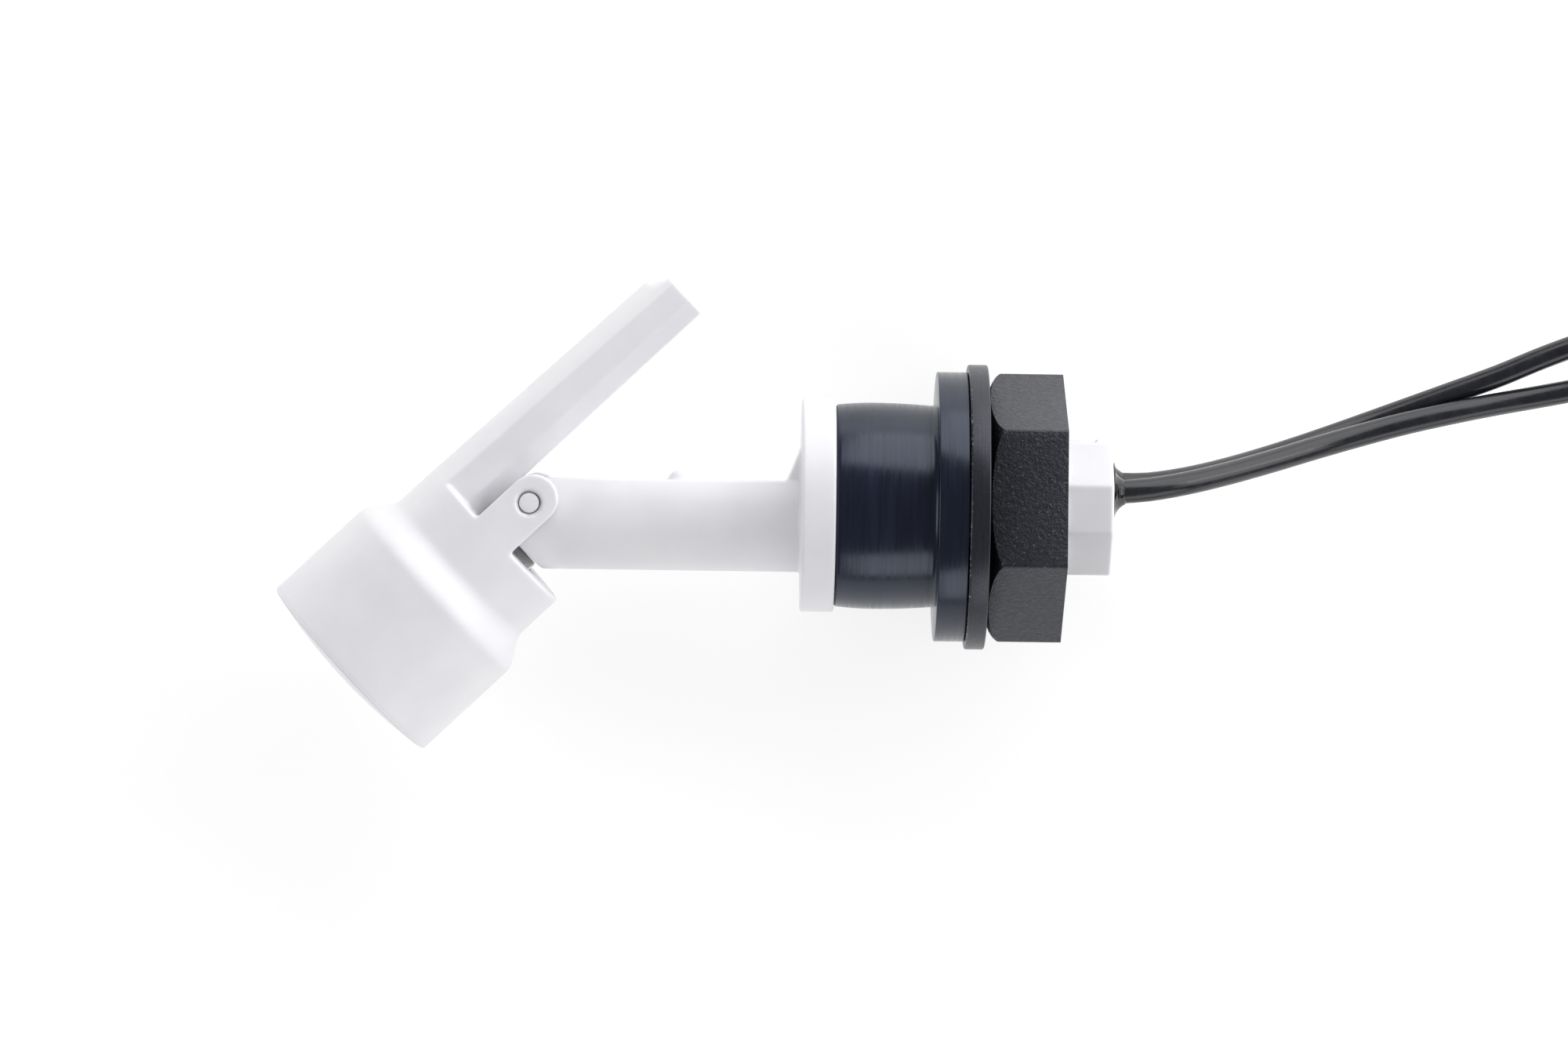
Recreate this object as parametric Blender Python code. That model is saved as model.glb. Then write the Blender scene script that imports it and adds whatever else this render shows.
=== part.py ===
"""Side-mounting liquid-level float switch, held in a tank wall by a rubber compression bush.

The switch lies on its side on a table. Its axis is +X, from the float to the leads, +Y points the way
that is up when it is installed, and the float's hinge runs along +Z. The origin is on the axis, in the
plane where the bush flange bears on the tank wall. Every dimension below is in millimetres and degrees.
"""

import math

import bmesh
import bpy
from mathutils import Matrix, Vector

MM = 0.001
GAP = 0.3  # clearance between pieces that bear on each other

TABLE_Z = -15.0  # the thrust washer's rim rests on the table

# Switch body: flange, threaded shank and tail are round about X, the stem is set below the axis.
FLANGE_X = (-14.15, -10.6)
FLANGE_RADIUS = 11.25
EDGE_RADIUS = 0.3
SHANK_RADIUS = 8.3
BODY_BORE_RADIUS = 5.0
BODY_BORE_START = -8.0
STEM_TOP = 2.45
STEM_BOTTOM = -7.1
STEM_RADIUS = 5.7
STEM_BORE = {"y": -3.7, "radius": 2.0, "start": -41.0}
NUB = {"x": -27.1, "radius": 1.05}
GUSSET_HALF_WIDTH = 4.0
GUSSET = [(-15.9, 2.2), (-13.9, 2.2), (-13.9, 6.6), (-14.15, 6.2), (-15.7, 2.45)]

# British parallel pipe thread, 3/8 inch.
THREAD_PITCH = 1.337
THREAD_MINOR = 7.475
THREAD_MAJOR = 8.33
THREAD_X = (2.0, 13.45)
THREAD_CLEARANCE = 0.2
THREAD_SEGMENTS = 24
THREAD_STEPS = 4  # rows in one pitch

TAIL_X = (12.9, 18.5)
TAIL_HALF_FLAT = 6.95
TAIL_CHAMFER = 4.45
TAIL_RIBS = [(13.4, 15.7), (16.9, 17.2)]
TAIL_RIB_HEIGHT = 0.4
TAIL_RIB_HALF_WIDTH = 0.8

# Compression fitting.
BUSH_START = FLANGE_X[1] + GAP
BUSH_BORE = SHANK_RADIUS + GAP
BUSH_CROWN = {"x": -6.5, "radius": 10.87, "drop": 0.2, "reach": 3.7}
BUSH_FLANGE_X = (0.0, 2.95)
BUSH_FLANGE_RADIUS = 14.2
BUSH_ROOT = {"radius": 10.95, "depth": 0.35}  # fillet where the sleeve meets its flange
WASHER_X = (BUSH_FLANGE_X[1] + GAP, 5.3)
WASHER_RADIUS = 15.0
NUT_X = (WASHER_X[1] + GAP, 13.4)
NUT_ACROSS_FLATS = 24.65
NUT_TURN = 5.5  # how far the flat that faces +Z is turned towards +Y
NUT_CHAMFER = {"radius": 12.4, "end": 6.9}

# Pivot and float. The float's own frame has u along the bar, v away from the stem and w along the pin.
PIVOT_X = -42.5
FLOAT_DROOP = 43.4
PIN_RADIUS = 1.05
PIN_HALF_LENGTH = 8.7
PIN_DOME = 0.25
PIN_FIT = 0.06
EAR_RECESS = {"radius": 1.32, "depth": 1.2}
NOSE_TOP_RADIUS = 2.42
NOSE_FRONT_RADIUS = 4.05
HEAD_RADIUS = 11.45
NECK_RADIUS = 9.45
HEAD_U = (-25.9, -14.2)
NECK_U = (-10.0, -5.05)
HEAD_WALL = 1.5
CAVITY_END = -9.7
CAP_APEX = -27.6
CAP_SPIGOT = {"depth": 2.0, "wall": 1.2}
EAR_HALF_HEIGHT = 2.55
EAR_END = 3.1
EAR_INNER = 6.0
BAR_START = -6.0
BAR_SIDE = 5.9
BAR_UNDERSIDE = 2.54
BAR_BEVEL = {"v": 4.4, "w": 4.4}
BAR_TIP = {"chamfer_start": 24.4, "end": 26.55, "radius": 8.85, "end_v": 7.4}
MAGNET = {"radius": 2.0, "u": -6.2, "v": (-5.1, 2.1), "fit": 0.08}

# Reed switch and its wiring.
REED_Y = -3.2
REED_GLASS_X = (-38.4, -24.4)
REED_GLASS_RADIUS = 1.1
REED_GLASS_WALL = 0.25
REED_WIRE_RADIUS = 0.25
REED_BLADE = {"half_width": 0.5, "half_thick": 0.08, "offset": 0.17}
REED_CONTACT = (-32.2, -30.6)
RETURN_Y = -5.0
SLEEVE_X = (-38.6, -10.0)
CRIMP_X = (3.0, 9.0)
CRIMP_RADII = (0.55, 0.95)
CORE_RADIUS = 0.42

# Leads: centre lines of the stretch that isn't coiled, from inside the potting to the coil.
LEAD_RADIUS = 1.25
LEAD_START = 10.2
POTTING_X = (11.0, 18.4)
POTTING_RADIUS = BODY_BORE_RADIUS - 0.15
POTTING_BULGE = 0.4
FRONT_ROUTE = [
    (10.2, 1.82, 1.35), (15.0, 1.82, 1.35), (19.6, 1.86, 1.35), (22.5, 2.11, 1.0), (26.5, 2.81, -0.5),
    (31.0, 3.84, -3.2), (36.0, 5.19, -6.3), (41.0, 6.66, -8.9), (46.0, 8.1, -10.5), (51.0, 9.46, -11.3),
    (56.0, 10.61, -12.0), (61.0, 11.63, -13.2), (66.0, 12.57, -13.7), (71.0, 13.6, -13.2),
    (76.0, 14.85, -11.6), (81.0, 16.1, -9.7), (86.0, 17.3, -8.35), (92.8, 18.7, -7.85),
]
REAR_ROUTE = [
    (10.2, 2.59, -1.35), (15.0, 2.59, -1.35), (19.6, 2.6, -1.35), (22.5, 2.64, -2.2),
    (26.5, 3.22, -3.9), (31.0, 4.22, -6.7), (36.0, 5.62, -9.9), (41.0, 7.23, -12.3),
    (46.0, 9.01, -13.5), (51.0, 10.87, -13.75), (56.0, 12.75, -13.75), (61.0, 14.64, -13.75),
    (66.0, 16.77, -13.75), (71.0, 18.6, -13.75), (76.0, 19.8, -13.6), (81.0, 20.3, -13.3),
    (86.0, 20.1, -13.15), (92.8, 19.7, -13.15),
]

# Two flat coils, one on the other, each five turns wide and two high, in one tie.
COIL_CENTRE = (104.0, -0.5)
COIL_RADIUS = 15.0
COIL_HALF_WIDTH = 6.25
COIL_HEIGHT = 5.0
TIE_THICKNESS = 0.5
TIE_GAP = 0.1
TIE_HALF_WIDTH = 1.3
COIL_FLOORS = {"rear": TABLE_Z + TIE_THICKNESS + TIE_GAP}
COIL_FLOORS["front"] = COIL_FLOORS["rear"] + COIL_HEIGHT + GAP
TAIL_ANGLES = {"front": -5.0, "rear": 25.0}  # where each lead leaves its coil, which winds clockwise
TAIL_TURN_RADIUS = 20.0
TAIL_REACH = (12.0, 30.0)
TAIL_DROP = (8.0, 20.0)  # where the lead starts to sink to the table, and over what length
BARE_END = (30.3, 37.5)
BARE_RADIUS = 0.6

MATERIALS = {
    "white_plastic": ((0.80, 0.79, 0.82), 0.45, 0.0),
    "rubber": ((0.012, 0.013, 0.020), 0.28, 0.0),
    "washer_plastic": ((0.022, 0.022, 0.027), 0.42, 0.0),
    "nut_plastic": ((0.022, 0.022, 0.026), 0.55, 0.0),
    "lead_insulation": ((0.035, 0.036, 0.045), 0.38, 0.0),
    "potting": ((0.008, 0.008, 0.010), 0.12, 0.0),
    "nickel": ((0.70, 0.68, 0.64), 0.18, 1.0),
    "tinned_copper": ((0.72, 0.71, 0.69), 0.35, 1.0),
    "reed_glass": ((0.55, 0.75, 0.62), 0.05, 0.0),
    "sleeve_plastic": ((0.65, 0.10, 0.08), 0.5, 0.0),
    "tie_plastic": ((0.02, 0.02, 0.02), 0.5, 0.0),
}


def clear_scene():
    for obj in list(bpy.data.objects):
        bpy.data.objects.remove(obj, do_unlink=True)


def material(name):
    """The material of this name, made once."""
    found = bpy.data.materials.get(name)
    if found:
        return found
    colour, roughness, metallic = MATERIALS[name]
    made = bpy.data.materials.new(name)
    made.use_nodes = True
    shader = made.node_tree.nodes["Principled BSDF"]
    shader.inputs["Base Color"].default_value = (*colour, 1.0)
    shader.inputs["Roughness"].default_value = roughness
    shader.inputs["Metallic"].default_value = metallic
    return made


def add_mesh(name, points, faces, slot):
    """A mesh object from points in millimetres, smooth apart from its sharp edges."""
    mesh = bpy.data.meshes.new(name)
    mesh.from_pydata([Vector(p) * MM for p in points], [], faces)
    solid = bmesh.new()
    solid.from_mesh(mesh)
    bmesh.ops.recalc_face_normals(solid, faces=solid.faces)
    solid.to_mesh(mesh)
    solid.free()
    mesh.shade_smooth()
    mesh.set_sharp_from_angle(angle=math.radians(35.0))
    obj = bpy.data.objects.new(name, mesh)
    bpy.context.collection.objects.link(obj)
    if slot:
        mesh.materials.append(material(slot))
    return obj


def turned(name, outline, slot, segments=48):
    """A body turned about X. The outline runs through (x, radius) with its inside on the right.

    A radius may be a function of the angle, and radius 0 makes a point on the axis. An outline with
    no point on the axis closes on itself, so it makes a tube.
    """
    points, rings, faces = [], [], []
    for x, radius in outline:
        start = len(points)
        if radius == 0:
            points.append((x, 0.0, 0.0))
            rings.append([start] * segments)
            continue
        for i in range(segments):
            angle = 2 * math.pi * i / segments
            r = radius(angle) if callable(radius) else radius
            points.append((x, r * math.cos(angle), r * math.sin(angle)))
        rings.append([start + i for i in range(segments)])
    on_axis = outline[0][1] == 0
    for ring, following in zip(rings, rings[1:] if on_axis else rings[1:] + rings[:1]):
        for i in range(segments):
            j = (i + 1) % segments
            corners = list(dict.fromkeys((ring[i], ring[j], following[j], following[i])))
            if len(corners) > 2:
                faces.append(corners)
    return add_mesh(name, points, faces, slot)


def lofted(name, sections, slot):
    """A body through sections, lists of as many points each, that go anticlockwise seen from +X."""
    count = len(sections[0])
    points = [point for section in sections for point in section]
    faces = [list(range(count))[::-1], [len(points) - count + i for i in range(count)]]
    for row in range(len(sections) - 1):
        for i in range(count):
            j = (i + 1) % count
            faces.append([row * count + i, row * count + j, (row + 1) * count + j, (row + 1) * count + i])
    return add_mesh(name, points, faces, slot)


def along_x(name, outline, span, slot=None):
    """A prism along X from an anticlockwise (y, z) outline."""
    return lofted(name, [[(x, y, z) for y, z in outline] for x in span], slot)


def along_z(name, outline, span, slot=None):
    """A prism along Z from an anticlockwise (x, y) outline."""
    obj = lofted(name, [[(z, x, y) for x, y in outline] for z in span], slot)
    turn = Matrix(((0, 1, 0), (0, 0, 1), (1, 0, 0))).to_4x4()
    obj.data.transform(turn)
    return obj


def tube(name, route, radius, slot, resolution=2):
    """A round cord through route, a list of points, with filled ends."""
    curve = bpy.data.curves.new(name, "CURVE")
    curve.dimensions = "3D"
    curve.bevel_depth = radius * MM
    curve.bevel_resolution = resolution
    curve.use_fill_caps = True
    spline = curve.splines.new("POLY")
    spline.points.add(len(route) - 1)
    for point, place in zip(spline.points, route):
        point.co = (*(Vector(place) * MM), 1.0)
    obj = bpy.data.objects.new(name, curve)
    bpy.context.collection.objects.link(obj)
    if slot:
        curve.materials.append(material(slot))
    return obj


def smooth_route(points, step):
    """Points about step apart on the Catmull-Rom curve through the given ones."""
    places = [Vector(p) for p in points]
    padded = [2 * places[0] - places[1], *places, 2 * places[-1] - places[-2]]
    route = []
    for a, b, c, d in zip(padded, padded[1:], padded[2:], padded[3:]):
        pieces = max(1, round((c - b).length / step))
        for i in range(pieces):
            t = i / pieces
            route.append(
                0.5 * (2 * b + (c - a) * t + (2 * a - 5 * b + 4 * c - d) * t**2
                       + (3 * b - a - 3 * c + d) * t**3)
            )
    return [*route, places[-1]]


def arc(centre, radius, start, end, steps):
    """Points on an arc from one angle to another, in degrees."""
    angles = [math.radians(start + (end - start) * i / steps) for i in range(steps + 1)]
    return [(centre[0] + radius * math.cos(a), centre[1] + radius * math.sin(a)) for a in angles]


def as_mesh(curve_object, name):
    """A mesh copy of a tube, for use as a cutter."""
    graph = bpy.context.evaluated_depsgraph_get()
    mesh = bpy.data.meshes.new_from_object(curve_object.evaluated_get(graph))
    bpy.data.objects.remove(curve_object)
    obj = bpy.data.objects.new(name, mesh)
    bpy.context.collection.objects.link(obj)
    return obj


def combine(target, tool, operation):
    """Joins the tool to the target, cuts it away or keeps what is common, and hides the tool."""
    modifier = target.modifiers.new(tool.name, "BOOLEAN")
    modifier.operation = operation
    modifier.solver = "EXACT"
    modifier.object = tool
    tool.hide_render = True
    tool.display_type = "WIRE"


def bored(target, name, place, radius, span, axis="X", segments=32):
    """Cuts a round hole along X or Z through place, over the given span of that axis."""
    outline = [(span[0], 0), (span[0], radius), (span[1], radius), (span[1], 0)]
    cutter = turned(name, outline, None, segments)
    if axis == "Z":
        cutter.data.transform(Matrix(((0, 0, -1), (0, 1, 0), (1, 0, 0))).to_4x4())
    cutter.location = Vector(place) * MM
    combine(target, cutter, "DIFFERENCE")
    return cutter


def rounded_ends(start, end, radius, edge, inner):
    """Outline of a turned disc from start to end with rounded outer edges and a bore."""
    left = [(start + edge - p, radius - edge + q) for p, q in arc((0, 0), edge, 0, 90, 2)]
    right = [(end - edge + p, radius - edge + q) for p, q in arc((0, 0), edge, 90, 0, 2)]
    return [(start, inner), *left, *right, (end, inner)]


def thread_radius(x, angle, clearance=0.0):
    """Radius of the pipe thread's rounded ridge, which fades out at both ends of the thread."""
    fade = min(1.0, (x - THREAD_X[0]) / THREAD_PITCH, (THREAD_X[1] - x) / THREAD_PITCH)
    phase = 2 * math.pi * x / THREAD_PITCH - angle
    ridge = 0.5 + 0.5 * math.cos(phase)
    height = (THREAD_MAJOR - THREAD_MINOR) * (ridge * fade if clearance == 0 else ridge)
    return THREAD_MINOR + height + clearance


def thread_rows(start, end, clearance=0.0):
    """Turned rows of the thread between two places on X."""
    count = math.ceil((end - start) / THREAD_PITCH * THREAD_STEPS)
    rows = []
    for i in range(count + 1):
        x = start + (end - start) * i / count
        rows.append((x, lambda angle, x=x: thread_radius(x, angle, clearance)))
    return rows


def stem_section():
    """The stem across X: a round bar with a flat top."""
    centre = STEM_BOTTOM + STEM_RADIUS
    edge = math.degrees(math.acos((STEM_TOP - centre) / STEM_RADIUS))
    return arc((centre, 0.0), STEM_RADIUS, edge, 360 - edge, 32)


def nose_outline():
    """The stem from the side. The nose is round about the pin where the float sweeps past it."""
    slope = math.radians(FLOAT_DROOP)
    upper = [(PIVOT_X + x, y) for x, y in arc((0, 0), NOSE_TOP_RADIUS, 90, 133, 5)]
    front = [(PIVOT_X + x, y) for x, y in arc((0, 0), NOSE_FRONT_RADIUS, 187, 180 + FLOAT_DROOP, 4)]
    foot = (STEM_BOTTOM * -math.sin(slope) - NOSE_FRONT_RADIUS) / math.cos(slope)
    return [(-13.0, STEM_BOTTOM - 1), (-13.0, STEM_TOP + 1), (PIVOT_X, STEM_TOP + 1), *upper, *front,
            (PIVOT_X + foot, STEM_BOTTOM), (PIVOT_X + foot, STEM_BOTTOM - 1)]


def tail_outline():
    """The tail across X: a square whose corners are cut off at 45 degrees."""
    a, b = TAIL_HALF_FLAT, TAIL_HALF_FLAT - TAIL_CHAMFER
    return [(a, -b), (a, b), (b, a), (-b, a), (-a, b), (-a, -b), (-b, -a), (b, -a)]


def build_body():
    start, end = FLANGE_X
    disc = rounded_ends(start, end, FLANGE_RADIUS, EDGE_RADIUS, 0)[:-1]
    outline = [*disc, (end, SHANK_RADIUS), (THREAD_X[0] + 0.2, SHANK_RADIUS), (THREAD_X[0] + 0.2, 0)]
    body = turned("switch_body", outline, "white_plastic", 56)
    rows = thread_rows(*THREAD_X)
    thread = turned("thread_join", [(THREAD_X[0], 0), *rows, (THREAD_X[1], 0)], None, THREAD_SEGMENTS)
    combine(body, thread, "UNION")

    stem = along_x("stem_join", stem_section(), (-48.0, FLANGE_X[0] + 1.0))
    combine(stem, along_z("nose_shape", nose_outline()[::-1], (-7.0, 7.0)), "INTERSECT")
    combine(body, stem, "UNION")
    half = GUSSET_HALF_WIDTH
    combine(body, along_z("gusset_join", GUSSET, (-half, half)), "UNION")

    dome = [(x, y) for x, y in arc((0, 0), NUB["radius"], 90, 0, 5)]
    nub = turned("nub_join", [(-1.0, 0), (-1.0, NUB["radius"]), *dome[:-1], (NUB["radius"], 0)], None, 20)
    nub.data.transform(Matrix(((0, -1, 0), (1, 0, 0), (0, 0, 1))).to_4x4())
    nub.location = Vector((NUB["x"], STEM_TOP, 0)) * MM
    combine(body, nub, "UNION")

    combine(body, along_x("tail_join", tail_outline(), TAIL_X), "UNION")
    wide = TAIL_RIB_HALF_WIDTH
    for i, (low, high) in enumerate(TAIL_RIBS):
        top = TAIL_HALF_FLAT + TAIL_RIB_HEIGHT
        rib = [(5.5, -wide), (top, -wide), (top, wide), (5.5, wide)]
        combine(body, along_x(f"rib_join_{i}", rib, (low, high)), "UNION")

    bored(body, "body_bore", (0, 0, 0), BODY_BORE_RADIUS, (BODY_BORE_START, TAIL_X[1] + 1), segments=40)
    stem_bore = (STEM_BORE["start"], BODY_BORE_START + 1)
    bored(body, "stem_bore", (0, STEM_BORE["y"], 0), STEM_BORE["radius"], stem_bore)
    bored(body, "pin_hole", (PIVOT_X, 0, 0), PIN_RADIUS + PIN_FIT, (-8, 8), "Z")
    return body


def build_bush():
    def crown(x):
        reach = BUSH_CROWN["reach"] if x < BUSH_CROWN["x"] else 5.4
        return BUSH_CROWN["radius"] - BUSH_CROWN["drop"] * ((x - BUSH_CROWN["x"]) / reach) ** 2

    corner = 0.2
    outline = [(BUSH_START, BUSH_BORE), (BUSH_START, crown(BUSH_START) - corner)]
    outline += [(x, crown(x)) for x in (BUSH_START + corner, -9.2, -8.0, -6.5, -5.0, -3.0, -1.5)]
    wall, end = BUSH_FLANGE_X
    outline += [(wall - BUSH_ROOT["depth"], crown(wall)), (wall, BUSH_ROOT["radius"])]
    outline += rounded_ends(wall, end, BUSH_FLANGE_RADIUS, EDGE_RADIUS, BUSH_BORE)[1:]
    turned("compression_bush", outline, "rubber", 48)


def build_washer():
    outline = rounded_ends(*WASHER_X, WASHER_RADIUS, EDGE_RADIUS, BUSH_BORE)
    turned("thrust_washer", outline, "washer_plastic", 56)


def build_nut():
    corner = NUT_ACROSS_FLATS / math.sqrt(3)
    turn = 90.0 - NUT_TURN
    hexagon = [p for p in arc((0, 0), corner, turn - 30, turn + 330, 6)][:-1]
    nut = along_x("compression_nut", hexagon, NUT_X, "nut_plastic")
    start, end = NUT_X
    shape = [(start, 0), (start, NUT_CHAMFER["radius"]), (NUT_CHAMFER["end"], corner + 0.02),
             (NUT_CHAMFER["end"], corner + 1), (end + 1, corner + 1), (end + 1, 0)]
    combine(nut, turned("nut_chamfer", shape, None, 72), "INTERSECT")
    rows = thread_rows(start - 0.5, end + 0.5, THREAD_CLEARANCE)
    cutter = turned("nut_thread", [(rows[0][0], 0), *rows, (rows[-1][0], 0)], None, THREAD_SEGMENTS)
    combine(nut, cutter, "DIFFERENCE")


def build_pin():
    half, r = PIN_HALF_LENGTH, PIN_RADIUS
    outline = [(-half, 0), (-half + 0.05, r * 0.6), (-half + PIN_DOME, r), (half - PIN_DOME, r),
               (half - 0.05, r * 0.6), (half, 0)]
    pin = turned("pivot_pin", outline, "white_plastic", 24)
    pin.data.transform(Matrix(((0, 0, -1), (0, 1, 0), (1, 0, 0))).to_4x4())
    pin.location = Vector((PIVOT_X, 0, 0)) * MM


def bar_section(u, radius, highest):
    """The bar across u: flat underside, bevelled lower edges, straight sides and an arched top."""
    side = BAR_SIDE
    low = [(BAR_BEVEL["v"], -side), (BAR_UNDERSIDE, -BAR_BEVEL["w"]), (BAR_UNDERSIDE, BAR_BEVEL["w"]),
           (BAR_BEVEL["v"], side)]
    top = []
    for i in range(13):
        w = side - side * i / 6
        top.append((min(math.sqrt(radius**2 - w**2), highest), w))
    return [(u, v, w) for v, w in reversed(low + top)]


def build_float(pivot):
    """Float head, neck, ears and bar in one moulding, open at the end that the cap closes."""
    start, shoulder = HEAD_U
    fall = HEAD_RADIUS - NECK_RADIUS
    curve = []
    for i in range(8):
        t = i / 7
        blend = 0.5 - 0.5 * math.cos(math.pi * t)
        curve.append((shoulder + (NECK_U[0] - shoulder) * t, HEAD_RADIUS - fall * blend))
    outline = [(CAVITY_END, 0), (CAVITY_END, NECK_RADIUS - 1.6), (-13.0, NECK_RADIUS - 1.6),
               (-15.0, HEAD_RADIUS - HEAD_WALL), (start, HEAD_RADIUS - HEAD_WALL),
               (start, HEAD_RADIUS - EDGE_RADIUS), (start + EDGE_RADIUS, HEAD_RADIUS), *curve,
               (NECK_U[1] - 0.25, NECK_RADIUS), (NECK_U[1], NECK_RADIUS - 0.25), (NECK_U[1], 0)]
    shell = turned("float_shell", outline, "white_plastic", 56)

    centre = EAR_END - EAR_HALF_HEIGHT
    ear = [(NECK_U[1] - 1, EAR_HALF_HEIGHT), (NECK_U[1] - 1, -EAR_HALF_HEIGHT)]
    ear += arc((centre, 0), EAR_HALF_HEIGHT, -90, 90, 12)
    ears = along_z("ears_join", ear, (-10.0, 10.0))
    neck = [(-9.0, 0), (-9.0, NECK_RADIUS - 0.02), (5.0, NECK_RADIUS - 0.02), (5.0, 0)]
    combine(ears, turned("ears_round", neck, None, 56), "INTERSECT")
    slot = [(-EAR_INNER, -4.0), (-EAR_INNER, 4.0), (EAR_INNER, 4.0), (EAR_INNER, -4.0)]
    gap = along_x("ears_gap", [(v, w) for w, v in slot], (NECK_U[1], 6.0))
    combine(ears, gap, "DIFFERENCE")
    combine(shell, ears, "UNION")

    tip = BAR_TIP
    bar = lofted("bar_join", [
        bar_section(BAR_START, NECK_RADIUS - 0.01, 99.0),
        bar_section(tip["chamfer_start"], tip["radius"], 99.0),
        bar_section(tip["end"], tip["radius"] - 0.05, tip["end_v"]),
    ], None)
    combine(shell, bar, "UNION")

    bored(shell, "ear_hole", (0, 0, 0), PIN_RADIUS + PIN_FIT, (-12, 12), "Z")
    for side in (-1, 1):
        outer = NECK_RADIUS + 0.5
        inner = NECK_RADIUS - 0.1 - EAR_RECESS["depth"]
        span = sorted((side * inner, side * outer))
        bored(shell, f"ear_recess_{side + 1}", (0, 0, 0), EAR_RECESS["radius"], span, "Z")

    low, high = MAGNET["v"]
    hold = MAGNET["radius"] + MAGNET["fit"]
    pocket = turned("magnet_pocket", [(low - 0.1, 0), (low - 0.1, hold), (high + 0.1, hold),
                                      (high + 0.1, 0)], None, 32)
    pocket.data.transform(Matrix(((0, -1, 0), (1, 0, 0), (0, 0, 1))).to_4x4())
    pocket.location = Vector((MAGNET["u"], 0, 0)) * MM
    combine(shell, pocket, "DIFFERENCE")

    r = MAGNET["radius"]
    magnet = turned("float_magnet", [(low, 0), (low, r - 0.15), (low + 0.15, r), (high - 0.15, r),
                                     (high, r - 0.15), (high, 0)], "nickel", 32)
    magnet.data.transform(Matrix(((0, -1, 0), (1, 0, 0), (0, 0, 1))).to_4x4())
    magnet.location = Vector((MAGNET["u"], 0, 0)) * MM

    edge = start - 0.2
    rim = HEAD_RADIUS - 0.1
    rise = edge - 0.3 - CAP_APEX
    dome = [(CAP_APEX + rise * (r / rim) ** 2, r) for r in (rim * 0.33, rim * 0.66, rim)]
    spigot = HEAD_RADIUS - HEAD_WALL - 0.15
    depth, wall = CAP_SPIGOT["depth"], CAP_SPIGOT["wall"]
    cap_outline = [(CAP_APEX, 0), *dome, (edge, rim), (edge, spigot), (edge + depth, spigot),
                   (edge + depth, spigot - wall), (edge + 0.4, spigot - wall), (edge + 0.4, 0)]
    cap = turned("float_end_cap", cap_outline, "white_plastic", 48)
    for piece in (shell, magnet, cap):
        piece.parent = pivot
    for tool in bpy.data.objects:
        if tool.name.startswith(("ear", "bar_join", "magnet_pocket")):
            tool.parent = pivot


def blade(name, ends, side):
    """A reed: round wire outside the glass, pressed flat inside it."""
    flat = REED_BLADE
    outer, inner = ends
    way = 1 if inner > outer else -1
    sections = []
    for x, half_w, half_t, lift in (
        (outer, REED_WIRE_RADIUS, REED_WIRE_RADIUS, 0.0),
        (outer + way * 2.2, REED_WIRE_RADIUS, REED_WIRE_RADIUS, 0.0),
        (outer + way * 3.2, flat["half_width"], flat["half_thick"], side * flat["offset"]),
        (inner, flat["half_width"], flat["half_thick"], side * flat["offset"]),
    ):
        ring = arc((0, 0), 1.0, 0, 360, 8)[:-1]
        sections.append([(x, REED_Y + lift + half_t * a, half_w * b) for a, b in ring])
    lofted(name, sections if way > 0 else sections[::-1], "nickel")


def build_reed():
    low, high = REED_GLASS_X
    r, wall = REED_GLASS_RADIUS, REED_GLASS_WALL
    neck = REED_WIRE_RADIUS + 0.1
    outline = [(low, neck), (low, neck + 0.35), (low + 0.9, r), (high - 0.9, r), (high, neck + 0.35),
               (high, neck), (high - 1.0, neck), (high - 1.5, r - wall), (low + 1.5, r - wall),
               (low + 1.0, neck)]
    glass = turned("reed_glass", outline, "reed_glass", 24)
    glass.location = Vector((0, REED_Y, 0)) * MM
    blade("reed_blade_front", (low - 0.8, REED_CONTACT[1]), 1)
    blade("reed_blade_rear", (high + 0.8, REED_CONTACT[0]), -1)

    bend_x = low - 1.0
    mid, half = (REED_Y + RETURN_Y) / 2, (REED_Y - RETURN_Y) / 2
    bend = [(x, y, 0.0) for x, y in arc((bend_x, mid), half, 90, 270, 10)]
    crimp = {"front": (1.5, 1.4), "rear": (2.3, -1.4)}
    front_end = [(-30.0, RETURN_Y, 0), (-20.0, RETURN_Y, 0), (-12.0, RETURN_Y, 0),
                 (-8.0, -4.6, 0.1), (-3.0, -2.2, 0.8), (1.0, 0.9, 1.35), (3.4, *crimp["front"]),
                 (4.2, *crimp["front"])]
    tube("link_wire_front", [*bend, *smooth_route(front_end, 1.2)], REED_WIRE_RADIUS, "tinned_copper", 1)
    rear_end = [(high + 0.95, REED_Y, 0), (-15.0, REED_Y, 0), (-9.0, REED_Y, 0), (-4.0, -1.6, -0.5),
                (0.5, 1.6, -1.3), (3.4, *crimp["rear"]), (4.2, *crimp["rear"])]
    tube("link_wire_rear", smooth_route(rear_end, 1.2), REED_WIRE_RADIUS, "tinned_copper", 1)
    low, high = SLEEVE_X
    sleeve = turned("insulating_sleeve", [(low, 0.32), (low, 0.48), (high, 0.48), (high, 0.32)],
                    "sleeve_plastic", 16)
    sleeve.location = Vector((0, RETURN_Y, 0)) * MM
    for side, (y, z) in crimp.items():
        low, high = CRIMP_X
        inner, outer = CRIMP_RADII
        barrel = turned(f"crimp_{side}", [(low, inner), (low, outer), (high, outer), (high, inner)],
                        "tinned_copper", 20)
        barrel.location = Vector((0, y, z)) * MM
        lead_y, lead_z = (FRONT_ROUTE if side == "front" else REAR_ROUTE)[0][1:]
        core = [(high - 2.5, y, z), (high, y, z), (LEAD_START - GAP, lead_y, lead_z)]
        tube(f"conductor_{side}", core, CORE_RADIUS, "tinned_copper", 1)


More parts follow.
